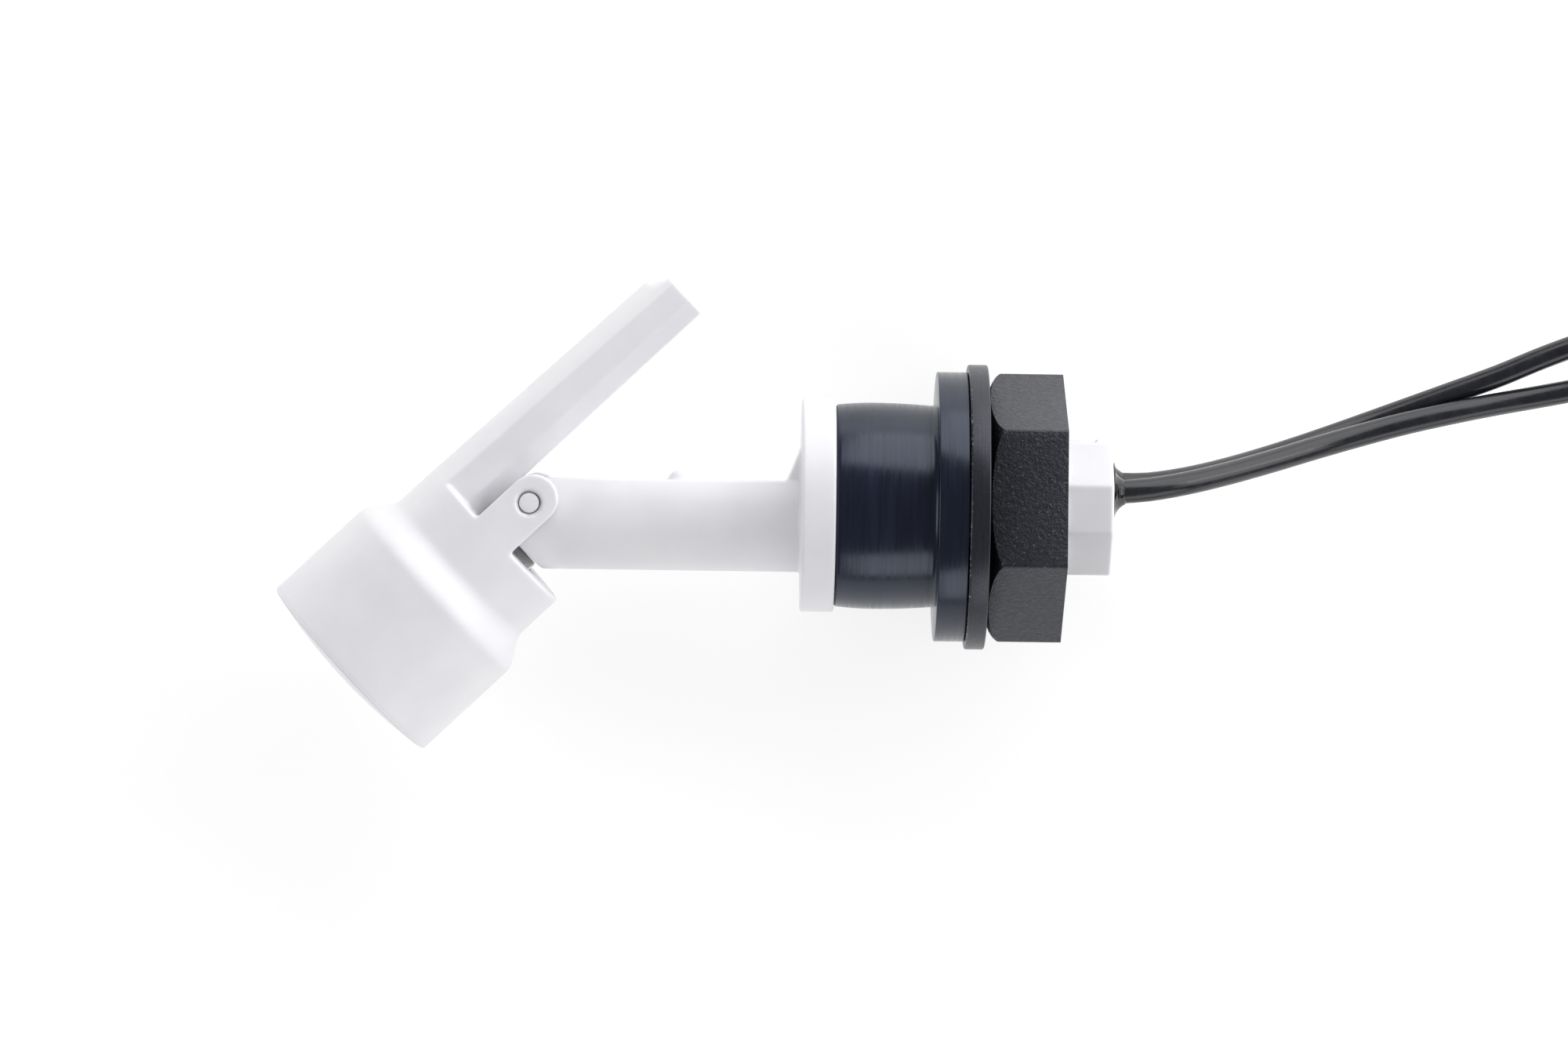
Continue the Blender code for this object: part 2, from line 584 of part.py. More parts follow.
def build_potting():
    start, end = POTTING_X
    r = POTTING_RADIUS
    face = [(end, r), (end + POTTING_BULGE * 0.75, r / 2), (end + POTTING_BULGE, 0)]
    plug = turned("potting_plug", [(start, 0), (start, r), *face], "potting", 40)
    for side, route in (("front", FRONT_ROUTE), ("rear", REAR_ROUTE)):
        y, z = route[0][1:]
        cutter = as_mesh(tube("passage", [(9, y, z), (20, y, z)], LEAD_RADIUS + 0.05, None, 3),
                         f"passage_{side}")
        combine(plug, cutter, "DIFFERENCE")


def coil_outline(floor):
    inner, outer = COIL_RADIUS - COIL_HALF_WIDTH, COIL_RADIUS + COIL_HALF_WIDTH
    ease = 0.8
    top = floor + COIL_HEIGHT
    return [(floor, inner + ease), (floor, outer - ease), (floor + ease, outer), (top - ease, outer),
            (top, outer - ease), (top, inner + ease), (top - ease, inner), (floor + ease, inner)]


def build_leads():
    stand = Matrix(((0, 0, 1), (0, 1, 0), (-1, 0, 0))).inverted().to_4x4()
    for side, route in (("front", FRONT_ROUTE), ("rear", REAR_ROUTE)):
        tube(f"lead_{side}", smooth_route(route, 4.0), LEAD_RADIUS, "lead_insulation")
        floor = COIL_FLOORS[side]
        coil = turned(f"lead_coil_{side}", coil_outline(floor), "lead_insulation", 40)
        coil.data.transform(stand)
        coil.location = Vector((*COIL_CENTRE, 0)) * MM
        angle = math.radians(TAIL_ANGLES[side])
        foot = Vector((*COIL_CENTRE, 0))
        foot += TAIL_TURN_RADIUS * Vector((math.cos(angle), math.sin(angle), 0))
        way = Vector((math.sin(angle), -math.cos(angle), 0))
        high = floor + 3 * LEAD_RADIUS
        low = TABLE_Z + LEAD_RADIUS
        near, far = TAIL_REACH
        places = []
        for i in range(7):
            s = near + (far - near) * i / 6
            t = min(1.0, (s - TAIL_DROP[0]) / TAIL_DROP[1])
            z = high + (low - high) * (0.5 - 0.5 * math.cos(math.pi * t))
            places.append(foot + way * s + Vector((0, 0, z)))
        tube(f"lead_tail_{side}", places, LEAD_RADIUS, "lead_insulation")
        bare = [foot + way * s + Vector((0, 0, low)) for s in BARE_END]
        tube(f"bare_end_{side}", bare, BARE_RADIUS, "tinned_copper")


def build_tie():
    """A flat band round both coils, with its long side under and over them."""
    x, y = COIL_CENTRE[0], COIL_CENTRE[1] - COIL_RADIUS
    low = TABLE_Z
    half = COIL_HALF_WIDTH + TIE_GAP + TIE_THICKNESS
    high = COIL_FLOORS["front"] + COIL_HEIGHT + TIE_GAP + TIE_THICKNESS
    outline = [(y + half, low), (y + half, high), (y - half, high), (y - half, low)]
    t = TIE_THICKNESS
    hole = [(y + half - t, low + t), (y + half - t, high - t), (y - half + t, high - t),
            (y - half + t, low + t)]
    band = along_x("coil_tie", outline, (x - TIE_HALF_WIDTH, x + TIE_HALF_WIDTH), "tie_plastic")
    combine(band, along_x("tie_hole", hole, (x - 3.0, x + 3.0)), "DIFFERENCE")


def main():
    clear_scene()
    pivot = bpy.data.objects.new("float_pivot", None)
    bpy.context.collection.objects.link(pivot)
    pivot.location = Vector((PIVOT_X, 0, 0)) * MM
    pivot.rotation_euler = (0, 0, math.radians(FLOAT_DROOP))
    build_body()
    build_bush()
    build_washer()
    build_nut()
    build_pin()
    build_float(pivot)
    build_reed()
    build_potting()
    build_leads()
    build_tie()


main()
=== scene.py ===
"""Looks of a side-mounting liquid-level float switch, lying on a pale table and seen from above.

Distances are in millimetres until a mesh is made, and in metres from then on. The frame is the CAD's:
+X runs from the float to the leads, +Y is up when the switch is installed, and +Z is up off the table.
"""

import math

import bmesh
import bpy
from mathutils import Matrix, Vector


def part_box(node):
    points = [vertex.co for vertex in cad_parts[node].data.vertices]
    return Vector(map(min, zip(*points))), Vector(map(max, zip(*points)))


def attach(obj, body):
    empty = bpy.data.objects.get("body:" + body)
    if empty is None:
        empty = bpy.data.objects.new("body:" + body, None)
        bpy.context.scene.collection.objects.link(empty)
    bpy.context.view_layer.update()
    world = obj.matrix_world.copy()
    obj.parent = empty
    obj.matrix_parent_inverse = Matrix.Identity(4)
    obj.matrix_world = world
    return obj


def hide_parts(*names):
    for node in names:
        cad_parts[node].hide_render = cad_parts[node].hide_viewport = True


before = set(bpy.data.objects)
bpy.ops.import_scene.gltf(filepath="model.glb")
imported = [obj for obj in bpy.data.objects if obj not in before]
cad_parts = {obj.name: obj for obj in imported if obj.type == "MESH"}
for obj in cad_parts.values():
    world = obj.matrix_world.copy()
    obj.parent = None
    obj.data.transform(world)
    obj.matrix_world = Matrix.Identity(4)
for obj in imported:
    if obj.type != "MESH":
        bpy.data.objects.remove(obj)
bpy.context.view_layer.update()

MM = 0.001
TABLE_Z = min(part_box("thrust_washer")[0][2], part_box("coil_tie")[0][2]) / MM

# Camera: it looks straight down, a touch off the vertical, with the long axis nearly level in view.
SENSOR = 36.0
FOCAL = 139.0
CAMERA_DISTANCE = 638.7
ORIGIN_OFF_CENTRE = (15.92, 1.78)  # the frame's origin, right of and above the view's centre
DOWN_IN_VIEW = (-0.009065, 0.02299)  # lean of the table's downward normal, to the right and up
VIEW_ROLL = -0.8

# Places and sizes that the pieces share with the CAD solids.
PIVOT_X = -42.5
FLOAT_DROOP = 43.4
HEAD_RADIUS = 11.45
NECK_RADIUS = 9.45
HEAD_U = (-25.9, -14.2)
NECK_U = (-10.0, -5.05)
EAR_HALF_HEIGHT = 2.55
EAR_END = 3.1
EAR_INNER = 6.0
BAR_UNDERSIDE = 2.54
BAR_HALF_WIDTH = 5.9
BAR_FLAT = 4.4
CAVITY_RADIUS = 9.95
PIN_HALF_LENGTH = 9.2
PIN_RADIUS = 1.05
STEM_RADIUS = 5.7
STEM_AXIS_Y = -1.4
STEM_TOP = 2.45
STEM_END = -13.0
REED_BORE_RADIUS = 2.0
REED_BORE_Y = -3.7
GUSSET_HALF_WIDTH = 4.0
NUB_X = -27.1
NUB_RADIUS = 1.05
FLANGE_X = (-14.15, -10.6)
FLANGE_RADIUS = 11.25
SHANK_RADIUS = 8.3
CORE_X = (2.3, 13.0)
CORE_RADIUS = 7.3
WELL_RADIUS = 5.0
WELL_FLOOR = -8.0
TAIL_X = (12.0, 18.5)
THREAD_PITCH = 1.337
THREAD_RADII = (7.475, 8.33)
THREAD_X = (2.0, 13.45)
THREAD_CLEARANCE = 0.2
SLIP_BORE = 8.6
SLEEVE_START = -10.55
BUSH_FLANGE_END = 3.18
BUSH_FLANGE_RADIUS = 14.2
WASHER_X = (3.25, 5.3)
WASHER_RADIUS = 15.0
NUT_X = (5.45, 13.4)
NUT_FLATS = 24.65
NUT_TURN = 5.5
LEAD_RADIUS = 1.25
COIL_CENTRE = (104.0, -0.5)
COIL_RADII = (20.0, 17.5, 15.0, 12.5, 10.0)
COIL_FLOORS = {"rear": -14.4, "front": -9.1}
ROUTE_STEP = 1.5
TAIL_ANGLES = {"front": -5.0, "rear": 25.0}
TAIL_SINK = (8.0, 28.0)
TAIL_STEP = 2.0
TAIL_END = 30.0
BARE_END = (30.3, 37.5)
STRAND_RADIUS = 0.19

FRONT_ROUTE = [
    (18.8, 1.82, 1.35), (19.6, 1.86, 1.35), (22.5, 2.11, 1.0), (26.5, 2.81, -0.5), (31.0, 3.84, -3.2),
    (36.0, 5.19, -6.3), (41.0, 6.66, -8.9), (46.0, 8.1, -10.5), (51.0, 9.46, -11.3),
    (56.0, 10.61, -12.0), (61.0, 11.63, -13.2), (66.0, 12.57, -13.7), (71.0, 13.6, -13.2),
    (76.0, 14.85, -11.6), (81.0, 16.1, -9.7), (86.0, 17.3, -8.35), (92.8, 18.7, -7.85),
]
REAR_ROUTE = [
    (18.8, 2.59, -1.35), (19.6, 2.6, -1.35), (22.5, 2.64, -2.2), (26.5, 3.22, -3.9), (31.0, 4.22, -6.7),
    (36.0, 5.62, -9.9), (41.0, 7.23, -12.3), (46.0, 9.01, -13.5), (51.0, 10.87, -13.75),
    (56.0, 12.75, -13.75), (61.0, 14.64, -13.75), (66.0, 16.77, -13.75), (71.0, 18.6, -13.75),
    (76.0, 19.8, -13.6), (81.0, 20.3, -13.3), (86.0, 20.1, -13.15), (92.8, 19.7, -13.15),
]


# ---------------------------------------------------------------- camera

def make_camera():
    """A camera whose view has the frame's origin, its vertical and its X axis where they should be."""
    lean_x, lean_y = DOWN_IN_VIEW
    up = Vector((-lean_x, -lean_y, 1.0)).normalized()
    roll = math.radians(VIEW_ROLL)
    along = Vector((math.cos(roll), math.sin(roll), 0.0))
    along = (along - along.dot(up) * up).normalized()
    across = up.cross(along)
    to_view = Matrix((along, across, up)).transposed()
    turn = to_view.inverted()
    origin = Vector((*ORIGIN_OFF_CENTRE, -CAMERA_DISTANCE)) * MM
    data = bpy.data.cameras.new("camera")
    data.sensor_width = SENSOR
    data.lens = FOCAL
    camera = bpy.data.objects.new("camera", data)
    camera.matrix_world = Matrix.Translation(-(turn @ origin)) @ turn.to_4x4()
    bpy.context.scene.collection.objects.link(camera)
    bpy.context.scene.camera = camera


# ---------------------------------------------------------------- mesh helpers

def new_object(name, mesh, shade=40.0):
    """An object in the scene; edges sharper than shade degrees stay sharp."""
    mesh.shade_smooth()
    mesh.set_sharp_from_angle(angle=math.radians(shade))
    obj = bpy.data.objects.new(name, mesh)
    bpy.context.scene.collection.objects.link(obj)
    return obj


def mesh_of(name, points, faces, merge=0.0):
    """A mesh from points in millimetres; points nearer than merge metres become one."""
    mesh = bpy.data.meshes.new(name)
    mesh.from_pydata([Vector(p) * MM for p in points], [], faces)
    solid = bmesh.new()
    solid.from_mesh(mesh)
    if merge:
        bmesh.ops.remove_doubles(solid, verts=solid.verts, dist=merge)
    bmesh.ops.recalc_face_normals(solid, faces=solid.faces)
    solid.to_mesh(mesh)
    solid.free()
    return mesh


def turned(name, outline, segments=192, shade=40.0):
    """A body turned about X through (x, radius); a radius may be a function of the angle."""
    points, rings, faces = [], [], []
    for x, radius in outline:
        start = len(points)
        if radius == 0:
            points.append((x, 0.0, 0.0))
            rings.append([start] * segments)
            continue
        for i in range(segments):
            angle = 2 * math.pi * i / segments
            r = radius(angle) if callable(radius) else radius
            points.append((x, r * math.cos(angle), r * math.sin(angle)))
        rings.append([start + i for i in range(segments)])
    on_axis = outline[0][1] == 0
    for ring, following in zip(rings, rings[1:] if on_axis else rings[1:] + rings[:1]):
        for i in range(segments):
            j = (i + 1) % segments
            corners = list(dict.fromkeys((ring[i], ring[j], following[j], following[i])))
            if len(corners) > 2:
                faces.append(corners)
    return new_object(name, mesh_of(name, points, faces), shade)


def lofted(name, sections):
    """A body through sections of as many points each, with flat ends."""
    count = len(sections[0])
    points = [point for section in sections for point in section]
    faces = [list(range(count))[::-1], [len(points) - count + i for i in range(count)]]
    for here in range(0, len(points) - count, count):
        following = here + count
        for i in range(count):
            j = (i + 1) % count
            faces.append([here + i, here + j, following + j, following + i])
    return new_object(name, mesh_of(name, points, faces))


def rod(name, radius, span, segments):
    return turned(name, [(span[0], 0), (span[0], radius), (span[1], radius), (span[1], 0)], segments)


def along_x(name, outline, span):
    """A prism along X; the outline is in Y and Z."""
    return lofted(name, [[(x, y, z) for y, z in outline] for x in span])


def along_z(name, outline, span):
    """A prism along Z; the outline is in X and Y."""
    return lofted(name, [[(x, y, z) for x, y in outline] for z in span])


def arc(centre, radius, start, end, steps):
    angles = [math.radians(start + (end - start) * i / steps) for i in range(steps + 1)]
    return [(centre[0] + radius * math.cos(a), centre[1] + radius * math.sin(a)) for a in angles]


def oblong(low, high):
    """A rectangle from its low corner to its high one."""
    return [(low[0], low[1]), (high[0], low[1]), (high[0], high[1]), (low[0], high[1])]


def rounded(corners, radius, steps):
    """A closed 2D outline whose corners are rounded."""
    outline = []
    for i, corner in enumerate(corners):
        here = Vector(corner)
        before = (Vector(corners[i - 1]) - here).normalized()
        after = (Vector(corners[(i + 1) % len(corners)]) - here).normalized()
        half = 0.5 * before.angle(after)
        start = here + before * radius / math.tan(half)
        end = here + after * radius / math.tan(half)
        centre = here + (before + after).normalized() * radius / math.sin(half)
        for k in range(steps + 1):
            way = (start - centre).slerp(end - centre, k / steps, (start - centre).normalized())
            outline.append(tuple(centre + way.normalized() * radius))
    return outline


def evaluated_mesh(obj):
    """The object's mesh with its modifiers applied."""
    graph = bpy.context.evaluated_depsgraph_get()
    return bpy.data.meshes.new_from_object(obj.evaluated_get(graph))


def settle(obj, shade=40.0):
    """Applies the object's modifiers; without shade, every edge is smooth."""
    mesh = evaluated_mesh(obj)
    obj.modifiers.clear()
    obj.data = mesh
    mesh.shade_smooth()
    if shade is not None:
        mesh.set_sharp_from_angle(angle=math.radians(shade))
    return obj


def bevelled(obj, width, segments, least_angle):
    """Rounds the edges that turn by more than least_angle degrees."""
    bevel = obj.modifiers.new("edge", "BEVEL")
    bevel.width = width * MM
    bevel.segments = segments
    bevel.limit_method = "ANGLE"
    bevel.angle_limit = math.radians(least_angle)
    settle(obj)


def combine(target, tool, operation):
    """Joins or cuts the target with the tool, which is then gone."""
    modifier = target.modifiers.new("combine", "BOOLEAN")
    modifier.operation = operation
    modifier.solver = "EXACT"
    modifier.object = tool
    settle(target)
    bpy.data.objects.remove(tool)


def join(target, *others):
    """Gathers closed bodies in one mesh; moulded() then fuses them where they overlap."""
    gathered = bmesh.new()
    gathered.from_mesh(target.data)
    for other in others:
        gathered.from_mesh(other.data)
        bpy.data.objects.remove(other)
    gathered.to_mesh(target.data)
    gathered.free()


def moulded(obj, voxel, rounds):
    """Rebuilds the surface at one grain and relaxes it, which gives edges a moulding's small radius."""
    remesh = obj.modifiers.new("remesh", "REMESH")
    remesh.mode = "VOXEL"
    remesh.voxel_size = voxel * MM
    smooth = obj.modifiers.new("smooth", "SMOOTH")
    smooth.factor = 0.5
    smooth.iterations = rounds
    return settle(obj, None)


def set_place(obj, matrix):
    obj.data.transform(matrix)
    obj.data.update()


MOULD_GRAIN = 0.17
MOULD_ROUNDS = 5
TO_Z = Matrix(((0, 0, -1), (0, 1, 0), (1, 0, 0))).to_4x4()
TO_Y = Matrix(((0, -1, 0), (1, 0, 0), (0, 0, 1))).to_4x4()
FLOAT_PLACE = (Matrix.Translation(Vector((PIVOT_X, 0, 0)) * MM)
               @ Matrix.Rotation(math.radians(FLOAT_DROOP), 4, "Z"))


def hole(target, place, radius, span, axis="X"):
    """Cuts a round bore, along X or Z, on a line through place."""
    tool = rod("tool", radius, span, 96)
    if axis == "Z":
        set_place(tool, TO_Z)
    set_place(tool, Matrix.Translation(Vector(place) * MM))
    combine(target, tool, "DIFFERENCE")


# ---------------------------------------------------------------- cords

def smooth_route(points, step):
    """Points about step apart on the Catmull-Rom curve through the given ones."""
    places = [Vector(p) for p in points]
    padded = [2 * places[0] - places[1], *places, 2 * places[-1] - places[-2]]
    route = []
    for a, b, c, d in zip(padded, padded[1:], padded[2:], padded[3:]):
        pieces = max(1, round((c - b).length / step))
        for i in range(pieces):
            t = i / pieces
            route.append(
                0.5 * (2 * b + (c - a) * t + (2 * a - 5 * b + 4 * c - d) * t**2
                       + (3 * b - a - 3 * c + d) * t**3)
            )
    return [*route, places[-1]]


def coil_route(side):
    """Turns of a flat coil, clockwise from its +Y side: inward on the low layer, outward on the next."""
    floor = COIL_FLOORS[side]
    layers = (floor + LEAD_RADIUS, floor + 3 * LEAD_RADIUS)
    lay = [(r, layers[0]) for r in COIL_RADII] + [(r, layers[1]) for r in COIL_RADII[::-1]]
    steps = 40
    cross_from = 0.75  # the part of a turn after which the cord crosses over to the next turn
    places = []
    last = 90.0 - TAIL_ANGLES[side]
    turns = len(lay) - 1 + last / 360.0
    for i in range(1, int(turns * steps) + 1):
        row = min(int(i / steps), len(lay) - 1)
        t = i / steps - row
        r, z = lay[row]
        following = lay[min(row + 1, len(lay) - 1)]
        ease = max(0.0, (t - cross_from) / (1.0 - cross_from))
        ease = ease * ease * (3 - 2 * ease)
        r += (following[0] - r) * ease
        z += (following[1] - z) * ease
        angle = math.radians(90.0 - 360.0 * i / steps)
        x = COIL_CENTRE[0] + r * math.cos(angle)
        y = COIL_CENTRE[1] + r * math.sin(angle)
        places.append(Vector((x, y, z)))
    return places


def tail_frame(side):
    """Where the lead leaves its coil's last turn, and the way it goes."""
    angle = math.radians(TAIL_ANGLES[side])
    foot = Vector((*COIL_CENTRE, 0.0)) + COIL_RADII[0] * Vector((math.cos(angle), math.sin(angle), 0.0))
    return foot, Vector((math.sin(angle), -math.cos(angle), 0.0))


def tail_height(side, s):
    """The lead keeps its height over the coil, then sinks to the table."""
    high = COIL_FLOORS[side] + 3 * LEAD_RADIUS
    low = TABLE_Z + LEAD_RADIUS
    start, end = TAIL_SINK
    t = min(1.0, max(0.0, (s - start) / (end - start)))
    return high + (low - high) * (0.5 - 0.5 * math.cos(math.pi * t))


def tail_route(side):
    """Points from the coil to the end of the insulation."""
    foot, way = tail_frame(side)
    reaches = [TAIL_STEP * k for k in range(1, int(TAIL_END / TAIL_STEP) + 1)]
    return [foot + way * s + Vector((0, 0, tail_height(side, s))) for s in reaches]


def poly_curve(name, places, radius, resolution):
    """A round cord through the places."""
    curve = bpy.data.curves.new(name, "CURVE")
    curve.dimensions = "3D"
    curve.bevel_depth = radius * MM
    curve.bevel_resolution = resolution
    curve.use_fill_caps = True
    spline = curve.splines.new("POLY")
    spline.points.add(len(places) - 1)
    for point, place in zip(spline.points, places):
        point.co = (*(Vector(place) * MM), 1.0)
    spline.use_smooth = True
    obj = bpy.data.objects.new(name, curve)
    bpy.context.scene.collection.objects.link(obj)
    return obj


def make_bare_end(side):
    """Seven tinned strands in a slow twist, from the end of the insulation."""
    around, steps = 6, 16  # strands round the middle one, steps along a strand
    twist, splay, stagger = 0.45, 0.25, 0.08  # turns, growth of the ring, difference of the ends
    hidden = 1.5  # length inside the insulation
    foot, way = tail_frame(side)
    start, end = BARE_END
    high = TABLE_Z + LEAD_RADIUS
    aside = Vector((-way.y, way.x, 0.0))
    strands = []
    for k in range(around + 1):
        out = 0.0 if k == around else 2 * STRAND_RADIUS
        places = []
        for i in range(steps + 1):
            t = i / steps
            turn = 2 * math.pi * (k / around + twist * t)
            spread = out * (1.0 + splay * t * t)
            offset = aside * math.cos(turn) * spread + Vector((0, 0, math.sin(turn) * spread))
            reach = start - hidden + (end - start + hidden) * t - stagger * k * t
            places.append(foot + way * reach + Vector((0, 0, high)) + offset)
        strands.append(poly_curve(f"strand_{k}", places, STRAND_RADIUS, 3))
    made = bmesh.new()
    for strand in strands:
        made.from_mesh(evaluated_mesh(strand))
        bpy.data.objects.remove(strand)
    mesh = bpy.data.meshes.new(f"bare_strands_{side}")
    made.to_mesh(mesh)
    made.free()
    return new_object(f"bare_strands_{side}", mesh, 60.0)


def make_leads(surface, tin):
    """Each lead with its coil and tail in one cord, and the bare strands at its end."""
    for side, route in (("front", FRONT_ROUTE), ("rear", REAR_ROUTE)):
        coil_start = (COIL_CENTRE[0], COIL_CENTRE[1] + COIL_RADII[0], COIL_FLOORS[side] + LEAD_RADIUS)
        start = smooth_route([*route, coil_start], ROUTE_STEP)
        places = [*start, *coil_route(side), *tail_route(side)]
        lead = poly_curve(f"lead_cord_{side}", places, LEAD_RADIUS, 7)
        lead.data.materials.append(surface)
        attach(lead, "switch")
        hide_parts(f"lead_{side}", f"lead_coil_{side}", f"lead_tail_{side}")
        bare = make_bare_end(side)
        bare.data.materials.append(tin)
        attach(bare, "switch")
        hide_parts(f"bare_end_{side}")


# ---------------------------------------------------------------- materials

def new_material(name, colour, roughness, metallic=0.0, ior=1.5):
    made = bpy.data.materials.new(name)
    made.use_nodes = True
    shader = made.node_tree.nodes["Principled BSDF"]
    shader.inputs["Base Color"].default_value = (*colour, 1.0)
    shader.inputs["Roughness"].default_value = roughness
    shader.inputs["Metallic"].default_value = metallic
    shader.inputs["IOR"].default_value = ior
    return made, made.node_tree, shader


def place_input(tree, scale=(1.0, 1.0, 1.0)):
    """Object coordinates in metres, stretched by scale."""
    source = tree.nodes.new("ShaderNodeTexCoord")
    mapping = tree.nodes.new("ShaderNodeMapping")
    mapping.inputs["Scale"].default_value = scale
    tree.links.new(source.outputs["Object"], mapping.inputs["Vector"])
    return mapping.outputs["Vector"]


def noise_node(tree, place, per_mm, detail=2.0, roughness=0.5):
    node = tree.nodes.new("ShaderNodeTexNoise")
    node.inputs["Scale"].default_value = per_mm / MM
    node.inputs["Detail"].default_value = detail
    node.inputs["Roughness"].default_value = roughness
    tree.links.new(place, node.inputs["Vector"])
    return node.outputs["Fac"]


def ramp(tree, value, stops):
    """A colour ramp; a stop is (position, grey or colour)."""
    node = tree.nodes.new("ShaderNodeValToRGB")
    while len(node.color_ramp.elements) < len(stops):
        node.color_ramp.elements.new(0.5)
    for element, (position, colour) in zip(node.color_ramp.elements, stops):
        element.position = position
        element.color = (*colour, 1.0) if isinstance(colour, tuple) else (colour, colour, colour, 1.0)
    tree.links.new(value, node.inputs["Fac"])
    return node.outputs["Color"]


def map_range(tree, value, span, results, kind="LINEAR"):
    """Maps value from the span to the results."""
    node = tree.nodes.new("ShaderNodeMapRange")
    node.interpolation_type = kind
    for socket, number in zip(("From Min", "From Max", "To Min", "To Max"), (*span, *results)):
        node.inputs[socket].default_value = number
    tree.links.new(value, node.inputs["Value"])
    return node.outputs["Result"]


def bump(tree, shader, height, strength, distance_mm, before=None):
    """Bumps the shader's normal, on top of the bump before it if there is one."""
    node = tree.nodes.new("ShaderNodeBump")
    node.inputs["Strength"].default_value = strength
    node.inputs["Distance"].default_value = distance_mm * MM
    tree.links.new(height, node.inputs["Height"])
    if before is not None:
        tree.links.new(before, node.inputs["Normal"])
    tree.links.new(node.outputs["Normal"], shader.inputs["Normal"])
    return node.outputs["Normal"]


def white_plastic():
    """Moulded polypropylene: cool white, a fine spark-eroded grain and faint cloudiness."""
    made, tree, shader = new_material("white_polypropylene", (0.78, 0.77, 0.80), 0.42)
    shader.inputs["Subsurface Weight"].default_value = 0.12
    shader.inputs["Subsurface Radius"].default_value = (0.0012, 0.0011, 0.0010)
    place = place_input(tree)
    cloud = noise_node(tree, place, 0.16, 3.0)
    tree.links.new(ramp(tree, cloud, [(0.35, (0.800, 0.792, 0.818)), (0.65, (0.835, 0.828, 0.846))]),
                   shader.inputs["Base Color"])
    grain = noise_node(tree, place, 7.0, 2.0, 0.6)
    tree.links.new(ramp(tree, grain, [(0.3, 0.37), (0.7, 0.50)]), shader.inputs["Roughness"])
    bump(tree, shader, grain, 0.30, 0.02)
    return made


def rubber():
    """Blue-black moulded rubber with fine lines round it."""
    made, tree, shader = new_material("bush_rubber", (0.006, 0.007, 0.014), 0.24, ior=1.54)
    shader.inputs["Specular Tint"].default_value = (0.74, 0.84, 1.0, 1.0)
    lines = noise_node(tree, place_input(tree, (1.0, 0.03, 0.03)), 3.2, 4.0, 0.7)
    streak = noise_node(tree, place_input(tree, (1.0, 0.10, 0.10)), 1.1, 3.0, 0.6)
    tree.links.new(ramp(tree, streak, [(0.35, (0.003, 0.004, 0.012)), (0.7, (0.008, 0.010, 0.026))]),
                   shader.inputs["Base Color"])
    tree.links.new(ramp(tree, lines, [(0.3, 0.17), (0.7, 0.31)]), shader.inputs["Roughness"])
    bump(tree, shader, lines, 0.22, 0.04)
    return made


def washer_plastic():
    """Turned charcoal plastic: close turning lines, and light grey specks painted on the rim beside the bush
    as highlights where its edge catches the light.
    """
    made, tree, shader = new_material("washer_charcoal", (0.010, 0.010, 0.014), 0.34, ior=1.53)
    shader.inputs["Specular Tint"].default_value = (0.86, 0.89, 1.0, 1.0)
    place = place_input(tree, (1.0, 0.05, 0.05))
    lines = noise_node(tree, place, 6.0, 3.0, 0.7)
    grit = noise_node(tree, place_input(tree), 5.0, 2.0, 0.6)
    colour = ramp(tree, lines, [(0.3, (0.006, 0.006, 0.009)), (0.7, (0.014, 0.014, 0.020))])
    apart = tree.nodes.new("ShaderNodeSeparateXYZ")
    tree.links.new(place_input(tree), apart.inputs["Vector"])
    # Painted highlights: light grey specks mixed into the base colour on the rim beside the bush stand in
    # for light caught on the rim's edge.
    rim = map_range(tree, apart.outputs["X"], (0.00332, 0.00346), (1.0, 0.0))
    flecks = noise_node(tree, place_input(tree), 2.4, 3.0, 0.6)
    highlight_specks = ramp(tree, flecks, [(0.58, 0.0), (0.66, 0.7)])
    painted_rim_highlights = tree.nodes.new("ShaderNodeMath")
    painted_rim_highlights.operation = "MULTIPLY"
    tree.links.new(rim, painted_rim_highlights.inputs[0])
    tree.links.new(highlight_specks, painted_rim_highlights.inputs[1])
    mixed = tree.nodes.new("ShaderNodeMix")
    mixed.data_type = "RGBA"
    mixed.inputs["B"].default_value = (0.45, 0.44, 0.47, 1.0)
    tree.links.new(painted_rim_highlights.outputs["Value"], mixed.inputs["Factor"])
    tree.links.new(colour, mixed.inputs["A"])
    tree.links.new(mixed.outputs["Result"], shader.inputs["Base Color"])
    tree.links.new(ramp(tree, grit, [(0.3, 0.26), (0.7, 0.42)]), shader.inputs["Roughness"])
    bump(tree, shader, lines, 0.30, 0.04)
    return made


def nut_plastic():
    """Glass-filled nylon: charcoal, grained like fine leather, with specks of fibre at the surface."""
    made, tree, shader = new_material("nut_nylon", (0.012, 0.012, 0.015), 0.42, ior=1.62)
    shader.inputs["Specular Tint"].default_value = (0.85, 0.88, 1.0, 1.0)
    place = place_input(tree)
    cells = tree.nodes.new("ShaderNodeTexVoronoi")
    cells.inputs["Scale"].default_value = 2.6 / MM
    tree.links.new(place, cells.inputs["Vector"])
    coarse = noise_node(tree, place, 2.2, 4.0, 0.65)
    fine = noise_node(tree, place, 4.0, 3.0, 0.7)
    tree.links.new(ramp(tree, fine, [(0.42, (0.001, 0.001, 0.002)), (0.60, (0.003, 0.003, 0.005)),
                                     (0.70, (0.090, 0.090, 0.100))]), shader.inputs["Base Color"])
    tree.links.new(ramp(tree, coarse, [(0.35, 0.32), (0.65, 0.46)]), shader.inputs["Roughness"])
    first = bump(tree, shader, coarse, 0.60, 0.16)
    second = bump(tree, shader, fine, 0.80, 0.07, first)
    bump(tree, shader, cells.outputs["Distance"], 0.25, 0.06, second)
    return made


